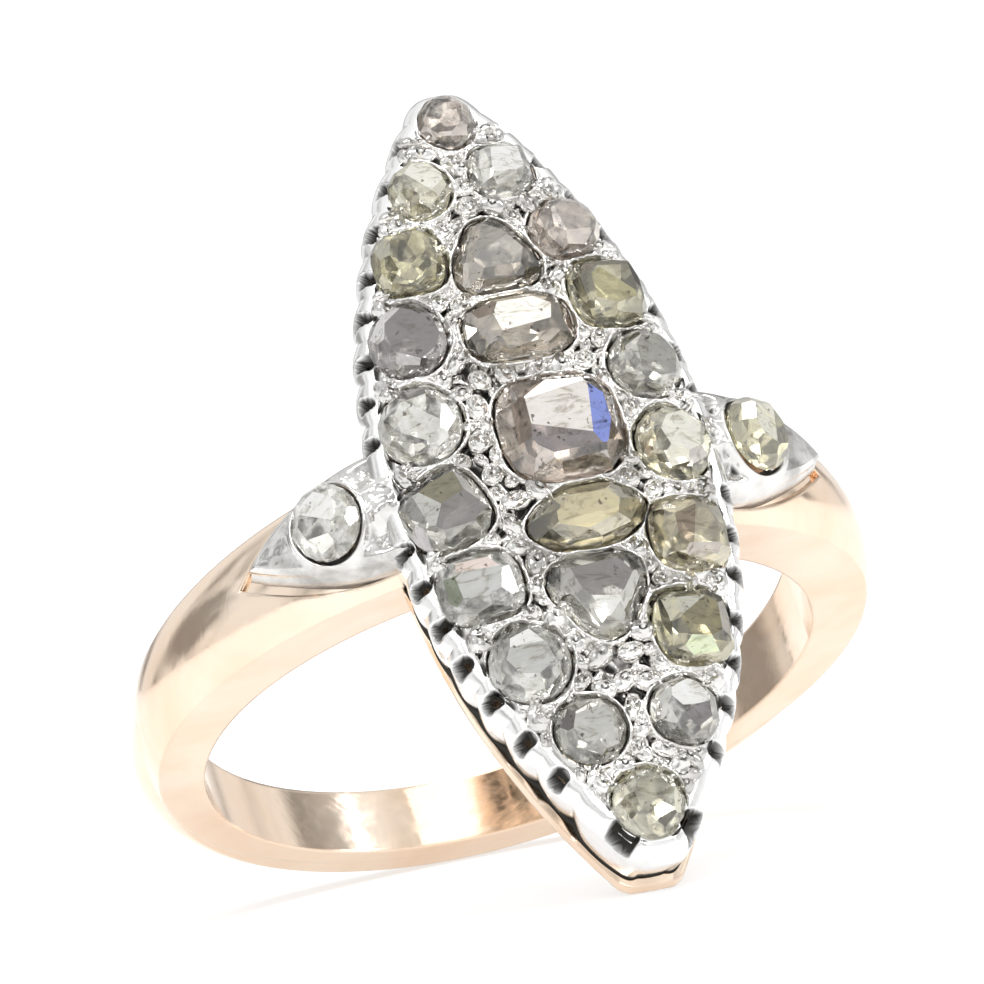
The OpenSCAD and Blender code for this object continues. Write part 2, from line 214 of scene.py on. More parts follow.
def turned(points):
    """The head's own axes to ring axes."""
    p = np.asarray(points, float).reshape(-1, 3).copy()
    c, s = math.cos(math.radians(HEAD_TURN)), math.sin(math.radians(HEAD_TURN))
    p[:, 0], p[:, 1] = c * p[:, 0] - s * p[:, 1], s * p[:, 0] + c * p[:, 1]
    return p


def smoothstep(low, high, x):
    """0 below low, 1 above high and a smooth rise between them."""
    t = np.clip((x - low) / (high - low), 0, 1)
    return t * t * (3 - 2 * t)


def noise2(x, y, seed):
    """Smooth value noise from 0 to 1, one cell per unit."""
    grid = np.random.RandomState(seed).rand(64, 64)
    xi, yi = np.floor(x).astype(int), np.floor(y).astype(int)
    fx, fy = x - xi, y - yi
    fx, fy = fx * fx * (3 - 2 * fx), fy * fy * (3 - 2 * fy)
    a, b = grid[xi % 64, yi % 64], grid[(xi + 1) % 64, yi % 64]
    c, d = grid[xi % 64, (yi + 1) % 64], grid[(xi + 1) % 64, (yi + 1) % 64]
    return (a * (1 - fx) + b * fx) * (1 - fy) + (c * (1 - fx) + d * fx) * fy


def ridged(x, y, seed):
    """Creased noise from 0 to 1 with sharp crests, on two turned octaves."""
    a = 1 - abs(2 * noise2(x, y, seed) - 1)
    b = 1 - abs(2 * noise2(1.9 * x + 1.1 * y, 1.9 * y - 1.1 * x, seed + 1) - 1)
    return 0.65 * a + 0.35 * b


def fall_r(half, fall):
    """Radius of an arc that falls by fall over a half width."""
    return (half * half + fall * fall) / (2 * fall)


def crown_at(u, v):
    """Height of the head's crown over a point of the head."""
    return (CROWN_Z - (CROWN_R - np.sqrt(CROWN_R**2 - np.square(u)))
            - (CROWN_LONG_R - np.sqrt(CROWN_LONG_R**2 - np.square(v))))


def wall_u(v):
    """Half width of the head at a distance along it."""
    return np.sqrt(WALL_ARC_R**2 - np.square(v)) - WALL_ARC_X


def head_outline(step, soften):
    """The head's closed outline, evenly stepped, with softened corners at its blunt tips."""
    v = np.linspace(0, HEAD_TIP, 2000)
    v_end = v[np.hypot(wall_u(v), v) <= HEAD_TIP][-1]
    side = np.linspace(-v_end, v_end, 3000)
    right = np.column_stack([wall_u(side), side])
    half = math.atan2(wall_u(v_end), v_end)
    a = np.linspace(half, -half, 200)[1:-1]
    top = HEAD_TIP * np.column_stack([np.sin(a), np.cos(a)])
    loop = np.vstack([right, top, -right, -top])
    span = np.r_[0, np.cumsum(np.hypot(*np.diff(np.vstack([loop, loop[:1]]), axis=0).T))]
    count = round(span[-1] / step)
    at = np.linspace(0, span[-1], count, endpoint=False)
    even = np.column_stack([np.interp(at, span, np.r_[loop[:, k], loop[0, k]]) for k in (0, 1)])
    reach = int(3 * soften / step)
    weights = np.exp(-0.5 * (np.arange(-reach, reach + 1) * step / soften) ** 2)
    weights /= weights.sum()
    around = np.vstack([even[-reach:], even, even[:reach]])
    return np.column_stack([np.convolve(around[:, k], weights, "valid") for k in (0, 1)])


def outline_r(kind, a):
    """Radius of a stone's outline in a direction: 1 if it is round, and near 1 if not."""
    if kind == "trillion":
        return 1 + 0.13 * np.cos(3 * a)
    if kind == "cushion":
        return (abs(np.cos(a)) ** 3 + abs(np.sin(a)) ** 3) ** (-1 / 3)
    return np.ones_like(a)


def outside_stone(x, y, width, length, turn, kind):
    """Rough distance from a stone's outline, negative inside it."""
    c, s = math.cos(math.radians(turn)), math.sin(math.radians(turn))
    x, y = c * x + s * y, c * y - s * x
    across, along = 2 * x / width, 2 * y / length
    ratio = np.hypot(across, along) / outline_r(kind, np.arctan2(along, across))
    return np.hypot(x, y) * (1 - 1 / np.maximum(ratio, 1e-3))


# Mesh making


def piece(name, verts, faces, material, attributes=None):
    """A mesh object in the frame's metres, riding on the ring."""
    mesh = bpy.data.meshes.new(name)
    mesh.from_pydata([tuple(p) for p in verts], [], [tuple(int(i) for i in f) for f in faces])
    for key, values in (attributes or {}).items():
        layer = mesh.attributes.new(key, "FLOAT", "POINT")
        layer.data.foreach_set("value", np.asarray(values, np.float32))
    mesh.polygons.foreach_set("use_smooth", [True] * len(mesh.polygons))
    mesh.materials.append(material)
    mesh.update()
    obj = bpy.data.objects.new(name, mesh)
    bpy.context.collection.objects.link(obj)
    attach(obj, "root")
    return obj


def grid_faces(rows, cols, keep=None, closed=False):
    """Quads of a grid of points, without the ones that keep leaves out."""
    r, c = np.meshgrid(np.arange(rows - 1), np.arange(cols if closed else cols - 1), indexing="ij")
    n = (c + 1) % cols
    quads = np.stack([r * cols + c, r * cols + n, (r + 1) * cols + n, (r + 1) * cols + c], -1)
    quads = quads.reshape(-1, 4)
    return quads if keep is None else quads[keep.ravel()[quads].any(axis=1)]


def used_only(points, faces, *values):
    """Drops the points that no face uses."""
    used = np.zeros(len(points), bool)
    used[faces.ravel()] = True
    new = np.cumsum(used) - 1
    return [points[used], new[faces]] + [v[used] for v in values]


def blurred(field, reach):
    """A grid of values averaged over a square of cells."""
    for axis in (0, 1):
        pad = [(reach, reach) if k == axis else (0, 0) for k in (0, 1)]
        total = np.cumsum(np.pad(field, pad, mode="edge"), axis=axis)
        total = np.insert(total, 0, 0, axis=axis)
        n = 2 * reach + 1
        hi = np.take(total, np.arange(n, total.shape[axis]), axis=axis)
        lo = np.take(total, np.arange(0, total.shape[axis] - n), axis=axis)
        field = (hi - lo) / n
    return field


def ball(radius, squash, seed, rings, sides):
    """Points and faces of one slightly uneven grain."""
    rnd = np.random.RandomState(seed)
    tilt = rnd.uniform(-0.25, 0.25, 2)
    lat = np.linspace(0, math.pi, rings + 1)[1:-1]
    lon = np.linspace(0, 2 * math.pi, sides, endpoint=False)
    la, lo = np.meshgrid(lat, lon, indexing="ij")
    bump = 1 + 0.05 * np.cos(2 * lo + rnd.uniform(0, 6)) * np.sin(la)
    bump = bump + 0.04 * np.cos(3 * la + rnd.uniform(0, 6))
    p = np.stack([np.sin(la) * np.cos(lo), np.sin(la) * np.sin(lo), np.cos(la)], -1) * bump[..., None]
    p = np.vstack([[0, 0, 1], p.reshape(-1, 3), [0, 0, -1]]) * radius * np.array([1, 1, squash])
    p[:, 0] += tilt[0] * p[:, 2]
    p[:, 1] += tilt[1] * p[:, 2]
    last = len(p) - 1
    faces = [tuple(f) for f in grid_faces(rings - 1, sides, closed=True) + 1]
    faces += [(0, 1 + k, 1 + (k + 1) % sides) for k in range(sides)]
    base = 1 + (rings - 2) * sides
    faces += [(last, base + (k + 1) % sides, base + k) for k in range(sides)]
    return p, faces


def joined(parts):
    """Several lots of points and faces as one."""
    points, faces, start = [], [], 0
    for p, f in parts:
        points.append(p)
        faces += [tuple(i + start for i in face) for face in f]
        start += len(p)
    return np.vstack(points), faces


# Materials


def new_material(name):
    """A node material, with its nodes, its links and its shader."""
    material = bpy.data.materials.new(name)
    material.use_nodes = True
    tree = material.node_tree
    return material, tree.nodes, tree.links, tree.nodes["Principled BSDF"]


def feed(links, value, socket):
    """Joins a source to a socket, or sets a plain value on it."""
    if isinstance(value, bpy.types.NodeSocket):
        links.new(value, socket)
    else:
        socket.default_value = value


def preset(node, values):
    """Sets plain values on a node, by the names of its inputs."""
    for name, value in values.items():
        node.inputs[name].default_value = value


def noise_node(nodes, links, scale, detail, roughness, distortion, coords):
    """Smooth noise as a value from 0 to 1."""
    node = nodes.new("ShaderNodeTexNoise")
    preset(node, {"Scale": scale, "Detail": detail, "Roughness": roughness, "Distortion": distortion})
    links.new(coords, node.inputs["Vector"])
    return node.outputs["Fac"]


def cells_node(nodes, links, feature, scale, coords):
    """Cells of random shape."""
    node = nodes.new("ShaderNodeTexVoronoi")
    node.feature = feature
    node.inputs["Scale"].default_value = scale
    links.new(coords, node.inputs["Vector"])
    return node


def ramp_node(nodes, links, source, stops):
    """Colours along a value, from stops of place and colour or grey level."""
    node = nodes.new("ShaderNodeValToRGB")
    ramp = node.color_ramp
    while len(ramp.elements) < len(stops):
        ramp.elements.new(0.5)
    for element, (at, colour) in zip(ramp.elements, stops):
        element.position = at
        element.color = (*colour, 1) if isinstance(colour, tuple) else (colour, colour, colour, 1)
    links.new(source, node.inputs["Fac"])
    return node.outputs["Color"]


def mix_node(nodes, links, blend, share, under, over):
    """One colour over another, by a share from 0 to 1."""
    node = nodes.new("ShaderNodeMix")
    node.data_type = "RGBA"
    node.blend_type = blend
    for socket, value in ((0, share), (6, under), (7, over)):
        feed(links, value, node.inputs[socket])
    return node.outputs[2]


def math_node(nodes, links, operation, *values):
    """One step of arithmetic on sources and plain numbers."""
    node = nodes.new("ShaderNodeMath")
    node.operation = operation
    for socket, value in zip(node.inputs, values):
        feed(links, value, socket)
    return node.outputs[0]


def bump_node(nodes, links, source, strength, distance, below=None):
    """A normal that follows the heights of a source, over the bumps below it."""
    node = nodes.new("ShaderNodeBump")
    preset(node, {"Strength": strength, "Distance": distance})
    links.new(source, node.inputs["Height"])
    if below:
        links.new(below, node.inputs["Normal"])
    return node.outputs["Normal"]


def object_coords(nodes):
    """A point's place on its piece, in metres."""
    return nodes.new("ShaderNodeTexCoord").outputs["Object"]


def stretched(nodes, links, coords, scale, rotation=(0, 0, 0)):
    """Coordinates turned and scaled, so a pattern on them becomes streaks."""
    node = nodes.new("ShaderNodeMapping")
    preset(node, {"Rotation": rotation, "Scale": scale})
    links.new(coords, node.inputs["Vector"])
    return node.outputs["Vector"]


def mesh_value(nodes, name, kind="Fac"):
    """A value or colour that the mesh carries."""
    node = nodes.new("ShaderNodeAttribute")
    node.attribute_name = name
    return node.outputs[kind]


def silver_material(name, polish, use_dark, lift=0.0):
    """Worn old silver: bright on crests, grey film here and there, near black where dark is 1, which paints
    shade, with some oxide, into pits, piercings and folds.
    """
    material, nodes, links, bsdf = new_material(name)
    coords = object_coords(nodes)
    film = noise_node(nodes, links, 900, 4, 0.55, 0.3, coords)
    fine = noise_node(nodes, links, 5200, 3, 0.6, 0.2, coords)
    tones = [(0.34, (0.52, 0.51, 0.49)), (0.48, (0.74, 0.73, 0.71)), (0.66, (0.90, 0.89, 0.87))]
    tones = [(at, tuple(c + lift * (0.97 - c) for c in colour)) for at, colour in tones]
    colour = ramp_node(nodes, links, film, tones)
    rough = ramp_node(nodes, links, film, [(0.30, 0.20 - polish), (0.70, 0.12 - 0.6 * polish)])
    metallic = 1.0
    if use_dark:
        dark = mesh_value(nodes, "dark")
        # Painted shade with some oxide: where dark is 1 the silver turns to this flat near-black colour
        colour = mix_node(nodes, links, "MIX", dark, colour, OXIDE_AND_SHADE)
        metallic = math_node(nodes, links, "MULTIPLY_ADD", dark, -1.0, 1.0)
        specular = math_node(nodes, links, "MULTIPLY_ADD", dark, -0.5, 0.5)
        links.new(specular, bsdf.inputs["Specular IOR Level"])
        rough = math_node(nodes, links, "MULTIPLY_ADD", dark, 0.6, rough)
    feed(links, metallic, bsdf.inputs["Metallic"])
    links.new(colour, bsdf.inputs["Base Color"])
    links.new(rough, bsdf.inputs["Roughness"])
    waves = bump_node(nodes, links, film, 0.4, 0.00008)
    links.new(bump_node(nodes, links, fine, 0.2, 0.000012, waves), bsdf.inputs["Normal"])
    return material


def gold_material():
    """Polished rose gold with soft wear, faint scratches and a darker film in places."""
    material, nodes, links, bsdf = new_material("rose_gold_polished")
    coords = object_coords(nodes)
    film = noise_node(nodes, links, 260, 4, 0.55, 0.6, coords)
    fine = noise_node(nodes, links, 2600, 4, 0.6, 0.3, coords)
    scratch = noise_node(nodes, links, 1400, 2, 0.5, 0.2, stretched(nodes, links, coords, (1, 9, 1)))
    tones = [(0.30, (0.90, 0.68, 0.50)), (0.52, (0.95, 0.77, 0.61)), (0.74, (0.98, 0.84, 0.70))]
    links.new(ramp_node(nodes, links, film, tones), bsdf.inputs["Base Color"])
    links.new(ramp_node(nodes, links, fine, [(0.35, 0.07), (0.70, 0.17)]), bsdf.inputs["Roughness"])
    bsdf.inputs["Metallic"].default_value = 1.0
    bevel = nodes.new("ShaderNodeBevel")
    bevel.samples = 6
    bevel.inputs["Radius"].default_value = 0.00012
    waves = bump_node(nodes, links, film, 0.20, 0.00010, bevel.outputs["Normal"])
    links.new(bump_node(nodes, links, scratch, 0.12, 0.00001, waves), bsdf.inputs["Normal"])
    return material


@functools.cache
def diamond_material(tint, milky):
    """The cut face of a stone: clear tinted crystal with cloudy patches and fine feathers, times each
    facet's painted reflection.
    """
    material, nodes, links, bsdf = new_material(f"diamond_{tint}_{int(100 * milky)}")
    body = TINTS[tint]
    coords = object_coords(nodes)
    cloud = noise_node(nodes, links, 2600, 4, 0.6, 0.0, coords)
    patch = ramp_node(nodes, links, cloud, [(0.66 - 0.40 * milky, 0), (0.82 - 0.30 * milky, 1)])
    cells = cells_node(nodes, links, "DISTANCE_TO_EDGE", 1300, coords)
    feather = ramp_node(nodes, links, cells.outputs["Distance"], [(0.0, 1), (0.02, 0)])
    feather = math_node(nodes, links, "MULTIPLY", feather, 0.3 * milky)
    cloudy = math_node(nodes, links, "MAXIMUM", patch, feather)
    clear_colour = (*(0.45 + 0.55 * c for c in body), 1)
    cloudy_colour = (*(min(1, 1.15 * c) for c in body), 1)
    colour = mix_node(nodes, links, "MIX", cloudy, clear_colour, cloudy_colour)
    # Each facet's painted reflection, carried on the mesh as its facet colour
    colour = mix_node(nodes, links, "MULTIPLY", 1.0, colour, mesh_value(nodes, "facet", "Color"))
    long = stretched(nodes, links, coords, (1, 4, 2), (0.4, 0.3, 0.9 + 2 * milky))
    streak = noise_node(nodes, links, 1100, 5, 0.65, 1.2, long)
    tones = [(0.36, (0.62, 0.60, 0.55)), (0.46, (0.94, 0.94, 0.92)), (0.60, 1)]
    streaks = ramp_node(nodes, links, streak, tones)
    speck = noise_node(nodes, links, 4200, 2, 0.5, 0.4, coords)
    specks = ramp_node(nodes, links, speck, [(0.66, 1), (0.71, (0.30, 0.28, 0.26))])
    for flaw in (streaks, specks):
        colour = mix_node(nodes, links, "MULTIPLY", 1.0, colour, flaw)
    links.new(colour, bsdf.inputs["Base Color"])
    links.new(mesh_value(nodes, "glint"), bsdf.inputs["Metallic"])
    see_through = math_node(nodes, links, "MULTIPLY_ADD", cloudy, -0.20 - 0.4 * milky, 1.0)
    links.new(see_through, bsdf.inputs["Transmission Weight"])
    bsdf.inputs["IOR"].default_value = 2.0
    links.new(ramp_node(nodes, links, cloud, [(0.45, 0.01), (0.75, 0.04)]), bsdf.inputs["Roughness"])
    return material


@functools.cache
def foil_material(tint):
    """The back of a stone: facets that throw the light back, each in its own tone of painted reflection."""
    material, nodes, links, bsdf = new_material(f"diamond_back_{tint}")
    # Painted reflections: cells of light and dark tone stand in for the mosaic that the back throws back
    chips = cells_node(nodes, links, "F1", 1300, object_coords(nodes))
    tone = nodes.new("ShaderNodeSeparateColor")
    links.new(chips.outputs["Color"], tone.inputs[0])
    shade = ramp_node(nodes, links, tone.outputs[0], [(0.10, (0.35, 0.34, 0.33)), (0.35, 0.9), (0.75, 1.1)])
    colour = mix_node(nodes, links, "MULTIPLY", 1.0, mesh_value(nodes, "facet", "Color"), shade)
    links.new(colour, bsdf.inputs["Base Color"])
    preset(bsdf, {"Metallic": 0.85, "Roughness": 0.12})
    return material


# Colour of the painted shade, with some oxide, in the silver's pits and under its foot
OXIDE_AND_SHADE = (0.050, 0.048, 0.043, 1)
SILVER_CROWN = silver_material("silver_worked", 0.04, True)
SILVER_WALL = silver_material("silver_wall", -0.06, True, 0.8)
SILVER_GRAIN = silver_material("silver_grain", 0.08, False)

# The silver crown between the stones: its rows and columns, and the width that the wall's edge covers
CROWN_ROWS = 640
CROWN_COLS = 236
BORDER = 0.50
# Its relief: depth of the seats, height of the lips around them and of the ridges between two stones,
# depth of the ground, height of the ground's flow and of its creases
SEAT_DEPTH = 0.34
LIP_H = 0.20
RIDGE_H = 0.16
GROUND_DEPTH = 0.26
FLOW_H = 0.30
CREASE_H = 0.06
# Radius of the grains next to the border, the most grains there can be, and the least room for one
GRAIN_R = 0.30
MOST_GRAINS = 160
LEAST_ROOM = 0.15


def stone_distances(u, v):
    """Distance outside the nearest and the second nearest head stone."""
    e = np.stack([outside_stone(u - s[1], v - s[2], *s[3:7]) for s in STONES])
    e.sort(axis=0)
    return e[0], e[1]


def outline_distance(u, v):
    """Rough distance inside the head's outline."""
    side = WALL_ARC_R - np.hypot(abs(u) + WALL_ARC_X, v)
    return np.minimum(side, HEAD_TIP - np.hypot(u, v))


def crown_relief(u, v, e1, e2, inside):
    """Height of the worked silver over the plain crown."""
    pocket = smoothstep(-0.05, 0.06, e1)
    uneven = 0.35 + 0.9 * noise2(1.7 * u, 1.7 * v, 57)
    lip = LIP_H * uneven * np.exp(-(((e1 - 0.10) / 0.075) ** 2))
    ridge = RIDGE_H * np.exp(-(((e2 - e1) / 0.20) ** 2)) * smoothstep(0.02, 0.15, e1)
    sunk = -GROUND_DEPTH * smoothstep(0.14, 0.34, e1)
    flow = FLOW_H * (ridged(1.25 * u, 1.25 * v, 11) - 0.62) * smoothstep(0.0, 0.25, e1)
    crease = CREASE_H * (ridged(2.6 * u, 2.6 * v, 23) - 0.6)
    drop = np.clip(BORDER + 0.15 - inside, 0, 0.3)
    return -SEAT_DEPTH * (1 - pocket) + (lip + ridge + sunk + flow + crease) * pocket - 0.9 * drop


def build_crown():
    """One sheet over the head, open under the stones, with painted shade and some oxide in its pits."""
    loop = head_outline(0.02, 0.16)
    right = loop[loop[:, 0] > 0]
    right = right[np.argsort(right[:, 1])]
    v_end = loop[:, 1].max() - 0.004
    x = np.linspace(-1, 1, CROWN_ROWS)
    v_row = v_end * (0.93 * x + 0.07 * np.sin(x * math.pi / 2))
    u_row = np.interp(v_row, right[:, 1], right[:, 0])
    s = np.linspace(-1, 1, CROWN_COLS)
    u = u_row[:, None] * s[None, :]
    v = np.repeat(v_row[:, None], CROWN_COLS, axis=1)
    e1, e2 = stone_distances(u, v)
    inside = np.minimum(u_row[:, None] * (1 - abs(s[None, :])), v_end - abs(v))
    inside = np.where(inside > 0.3, inside, np.clip(inside, 0, None))
    relief = crown_relief(u, v, e1, e2, inside)
    # Painted shade with some oxide: dark in pits and deep grounds, along the border under the wall's edge,
    # and in broken rims round the stones
    dark = smoothstep(0.02, 0.10, blurred(relief, 8) - relief)
    dark = np.maximum(dark, smoothstep(0.30, 0.40, -relief) * (e1 > 0.02) * (inside > BORDER + 0.2))
    dark = np.maximum(dark, 1 - smoothstep(BORDER + 0.06, BORDER + 0.16, inside))
    broken = smoothstep(0.35, 0.60, noise2(1.1 * u + 7, 1.1 * v + 3, 77))
    dark = np.maximum(dark, (1 - smoothstep(-0.03, 0.03, e1)) * broken)
    points = np.stack([u, v, crown_at(u, v) + relief], -1).reshape(-1, 3)
    faces = grid_faces(CROWN_ROWS, CROWN_COLS, keep=(e1 > -0.14) & (inside > BORDER))
    points, faces, dark = used_only(points, faces, dark.ravel())
    obj = piece("setting_crown", place(turned(points)), faces, SILVER_CROWN, {"dark": dark})
    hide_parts("setting")


def border_gap(k):
    """The middle between a border stone and the next one, and the way in from the head's edge there."""
    a, b = STONES[k], STONES[(k + 1) % BORDER_STONES]
    inward = np.array([a[2] - b[2], b[1] - a[1]])
    return np.array([(a[1] + b[1]) / 2, (a[2] + b[2]) / 2]), inward / np.linalg.norm(inward)


def grain_places():
    """Grains inside the row of border stones, then ever smaller ones wherever the metal leaves room."""
    grains = []
    for k in range(BORDER_STONES):
        mid, inward = border_gap(k)
        grains.append((*(mid + 0.8 * inward), GRAIN_R))
    v, u = np.meshgrid(np.arange(-11.6, 11.6, 0.06), np.arange(-4.9, 4.9, 0.06), indexing="ij")
    room = np.minimum(stone_distances(u, v)[0], outline_distance(u, v) - BORDER)
    for gu, gv, r in grains:
        room = np.minimum(room, np.hypot(u - gu, v - gv) - r)
    while room.max() > LEAST_ROOM and len(grains) < MOST_GRAINS:
        k = np.unravel_index(room.argmax(), room.shape)
        r = min(0.36, 1.18 * room[k])
        grains.append((u[k], v[k], r))
        room = np.minimum(room, np.hypot(u - u[k], v - v[k]) - 0.96 * r)
    return grains


def claw(u, v, inward, size, seed):
    """A drop of silver that runs from the wall's edge in over the stones' edges."""
    points, faces = ball(1.0, 1.0, seed, 10, 16)
    taper = 1 - 0.28 * points[:, 0:1]
    points = points * np.array(size) * np.hstack([np.ones_like(taper), taper, taper])
    across = np.array([-inward[1], inward[0]])
    flat = points[:, :1] * inward + points[:, 1:2] * across
    return np.column_stack([flat + (u, v), points[:, 2] + crown_at(u, v) + 0.02]), faces


def build_grains():
    """The grains, and two claws over each gap in the border, as one mesh."""
    parts = []
    rnd = random.Random(8)
    for k, (u, v, r) in enumerate(grain_places()):
        points, faces = ball(r, rnd.uniform(0.7, 1.0), k, 10, 18)
        turn, long = rnd.uniform(0, math.pi), rnd.uniform(1.0, 1.35)
        c, d = math.cos(turn), math.sin(turn)
        flat = points[:, :2] * (long, 1.05 / long) @ np.array([[c, d], [-d, c]])
        parts.append((np.column_stack([flat + (u, v), points[:, 2] + crown_at(u, v) - 0.03]), faces))
    for k in range(BORDER_STONES):
        mid, inward = border_gap(k)
        along = np.array([-inward[1], inward[0]])
        for turn in (-0.5, 0.5):
            way = math.cos(turn) * inward + math.sin(turn) * along
            spot = mid - 0.62 * inward + along * turn * 0.55
            size = (rnd.uniform(0.34, 0.46), rnd.uniform(0.15, 0.21), rnd.uniform(0.20, 0.27))
            parts.append(claw(*spot, way, size, 300 + k))
    points, faces = joined(parts)
    obj = piece("setting_grains", place(turned(points)), faces, SILVER_GRAIN)


# The pierced silver wall: its step along the outline, its rows, its thickness, its foot over the plate
WALL_STEP = 0.046
WALL_ROWS = 78
WALL_T = 0.42
FOOT_GAP = 0.06
# How far the wall's rounded edge reaches in and down, and how far up that edge the piercings lie
EDGE_IN = 0.42
EDGE_DOWN = 0.50
PIERCE_UP = 0.44
# How far a lobe between two cusps swells out, how high the foot rises at a cusp, piercings to each quarter
LOBE_OUT = 0.13
CUSP_H = 0.40
PIERCE_COUNT = 8
# How much of the lean the wall's sides lose near the tips. The last piercing before the lower tip lies
# further on by LAST_HOLE, and is LAST_HOLE_LONG times as long
TIP_UPRIGHT = 0.25
LAST_HOLE = 0.70
LAST_HOLE_LONG = 1.7
# The fold under the wall's foot, painted near black as the shade in the gap over the plate and a dark joint
# line; its rows
# from inside: distance out from the foot, share of the foot's height. Its lowest rows lie FOLD_LOW over the
# plate
FOOT_FOLD = [(-0.30, 0), (0.03, 0), (-0.03, 0.5), (-0.24, 0.6), (-0.20, 1.0), (-0.05, 1.0)]
FOLD_LOW = 0.01


def wall_profile():
    """The wall's section as rows of distance out and height: straight up, then rounded over inwards."""
    start = (-WALL_LEAN, FOOT_GAP)
    spring = WALL_H - EDGE_DOWN
    a = np.linspace(0, 1.25 * math.pi / 2, 60)
    out = np.r_[start[0], -0.06 - EDGE_IN * (1 - np.cos(a))]
    z = np.r_[start[1], spring + (EDGE_DOWN + 0.12) * np.sin(a)]
    span = np.r_[0, np.cumsum(np.hypot(np.diff(out), np.diff(z)))]
    even = np.linspace(0, span[-1], WALL_ROWS)
    return np.interp(even, span, out), np.interp(even, span, z), even, span[1] + PIERCE_UP


def build_wall():
    """One sheet around the head: scallops, piercings with painted shade inside, a folded foot painted near
    black as shade and joint line, a rounded edge.
    """
    loop = head_outline(WALL_STEP, 0.28)
    n = len(loop)
    tangent = np.roll(loop, -1, axis=0) - np.roll(loop, 1, axis=0)
    tangent /= np.linalg.norm(tangent, axis=1)[:, None]
    normal = np.column_stack([tangent[:, 1], -tangent[:, 0]])
    along = np.arange(n) * WALL_STEP
    length = n * WALL_STEP

    def reach_from(side, v):
        on_side = np.where(loop[:, 0] * side > 0)[0]
        spot = along[on_side[np.argmin(abs(loop[on_side, 1] - v))]]
        d = abs(along - spot)
        return np.minimum(d, length - d)

    out, z, up, pierce_at = wall_profile()
    rnd = random.Random(5)
    # Distance from the edge of the nearest piercing, negative in it
    hole = np.full((WALL_ROWS, n), 9.0)
    foot, lobe = np.zeros(n), np.ones(n)
    for side, k, end in itertools.product((-1, 1), range(PIERCE_COUNT), (-1, 1)):
        last = k == PIERCE_COUNT - 1 and end < 0
        if not last:
            d = reach_from(side, end * (PIERCE_FIRST + (k + 0.5) * PIERCE_STEP))
            foot = np.maximum(foot, CUSP_H * np.clip(1 - d / (0.48 * PIERCE_STEP), 0, 1) ** 1.5)
            lobe = np.minimum(lobe, np.sin(np.clip(d / PIERCE_STEP, 0, 0.5) * math.pi) ** 0.7)
        v = end * (PIERCE_FIRST + k * PIERCE_STEP + (LAST_HOLE if last else 0))
        d = reach_from(side, v + rnd.uniform(-0.06, 0.06))[None, :]
        wide = PIERCE_W / 2 * rnd.uniform(1.1, 1.4)
        tall = 0.10 + 0.10 * rnd.random() + 0.010 * k * (end < 0)
        across = up[:, None] - pierce_at + rnd.uniform(-0.05, 0.05)
        narrow = 1 + rnd.uniform(-0.3, 0.4) * np.clip(across / 0.3, -1, 1)
        if last:
            narrow = narrow / LAST_HOLE_LONG
        hole = np.minimum(hole, np.hypot(d * narrow, np.clip(abs(across) - tall, 0, None)) - wide)
    side_on = smoothstep(0.1, 0.9, abs(normal[:, 0]))
    near_tip = smoothstep(9.0, 11.0, abs(loop[:, 1]))
    edge = crown_at(loop[:, 0], loop[:, 1]) - WALL_Z - WALL_H
    # 1 at the foot and 0 where the rounded edge begins
    low = np.clip(1 - (z - FOOT_GAP) / (WALL_H - EDGE_DOWN - FOOT_GAP), 0, 1)[:, None]
    out = out[:, None] + (near_tip * side_on**3)[None, :] * TIP_UPRIGHT * low
    z = z[:, None] + foot[None, :] * low**2 + edge[None, :] * (1 - low)
    dent = 0.05 * (noise2(1.1 * along[None, :], 1.1 * up[:, None], 31) - 0.5)
    rise = np.clip(up[:, None] / up[-1], 0, 1)
    swell = LOBE_OUT * (lobe[None, :] - 0.4) * (0.5 + 0.5 * np.sin(rise * math.pi))
    cut = WALL_T * smoothstep(0.0, 0.06, -hole) + 0.02 * np.exp(-np.clip(hole, 0, None) / 0.05)
    # On the rounded edge the wall turns over, so a cut there goes down as well as in
    over = np.clip((z - edge[None, :] - (WALL_H - EDGE_DOWN)) / EDGE_DOWN, 0, 1)
    out = out + dent + swell * (1 - 0.5 * over) - cut * (1 - 0.6 * over)
    z = z - cut * 0.8 * over + 0.04 * (1 - lobe[None, :]) * over
    under = [np.maximum(z[0] * share, FOLD_LOW) for _, share in FOOT_FOLD]
    rows_out = np.vstack([out[0] + o for o, _ in FOOT_FOLD] + [out])
    rows_z = np.vstack(under + [z])
    # Painted shade with some oxide: every fold row is near black, and the piercings are dark inside
    rows_dark = np.vstack([np.ones((len(FOOT_FOLD), n)), smoothstep(-0.02, 0.03, -hole)])
    points = np.empty((*rows_z.shape, 3))
    points[..., :2] = loop + rows_out[..., None] * normal
    points[..., 2] = WALL_Z + rows_z
    keep = np.vstack([np.ones((len(FOOT_FOLD), n), bool), hole > -0.11])
    faces = grid_faces(*rows_z.shape, keep=keep, closed=True)
    points, faces, shade = used_only(points.reshape(-1, 3), faces, rows_dark.ravel())
    obj = piece("setting_wall", place(turned(points)), faces, SILVER_WALL, {"dark": shade})


# Stones. A facet belongs to the face where its normal rises above FACE_MIN
FACE_MIN = -0.05


def ring_points(width, length, kind, part, z, count):
    """A stone's scaled outline at one height."""
    a = 2 * math.pi * np.arange(count) / count
    r = part * outline_r(kind, a)
    return np.column_stack([width / 2 * r * np.cos(a), length / 2 * r * np.sin(a), np.full(count, z)])


def slice_off(bm, point, normal):
    """Cuts away what lies on the normal's side and closes the cut with one flat facet."""
    everything = bm.verts[:] + bm.edges[:] + bm.faces[:]
    cut = bmesh.ops.bisect_plane(bm, geom=everything, dist=1e-5, plane_co=point, plane_no=normal,
                                 clear_outer=True)
    edges = [e for e in cut["geom_cut"] if isinstance(e, bmesh.types.BMEdge) and e.is_boundary]
    if edges:
        bmesh.ops.holes_fill(bm, edges=edges, sides=0)


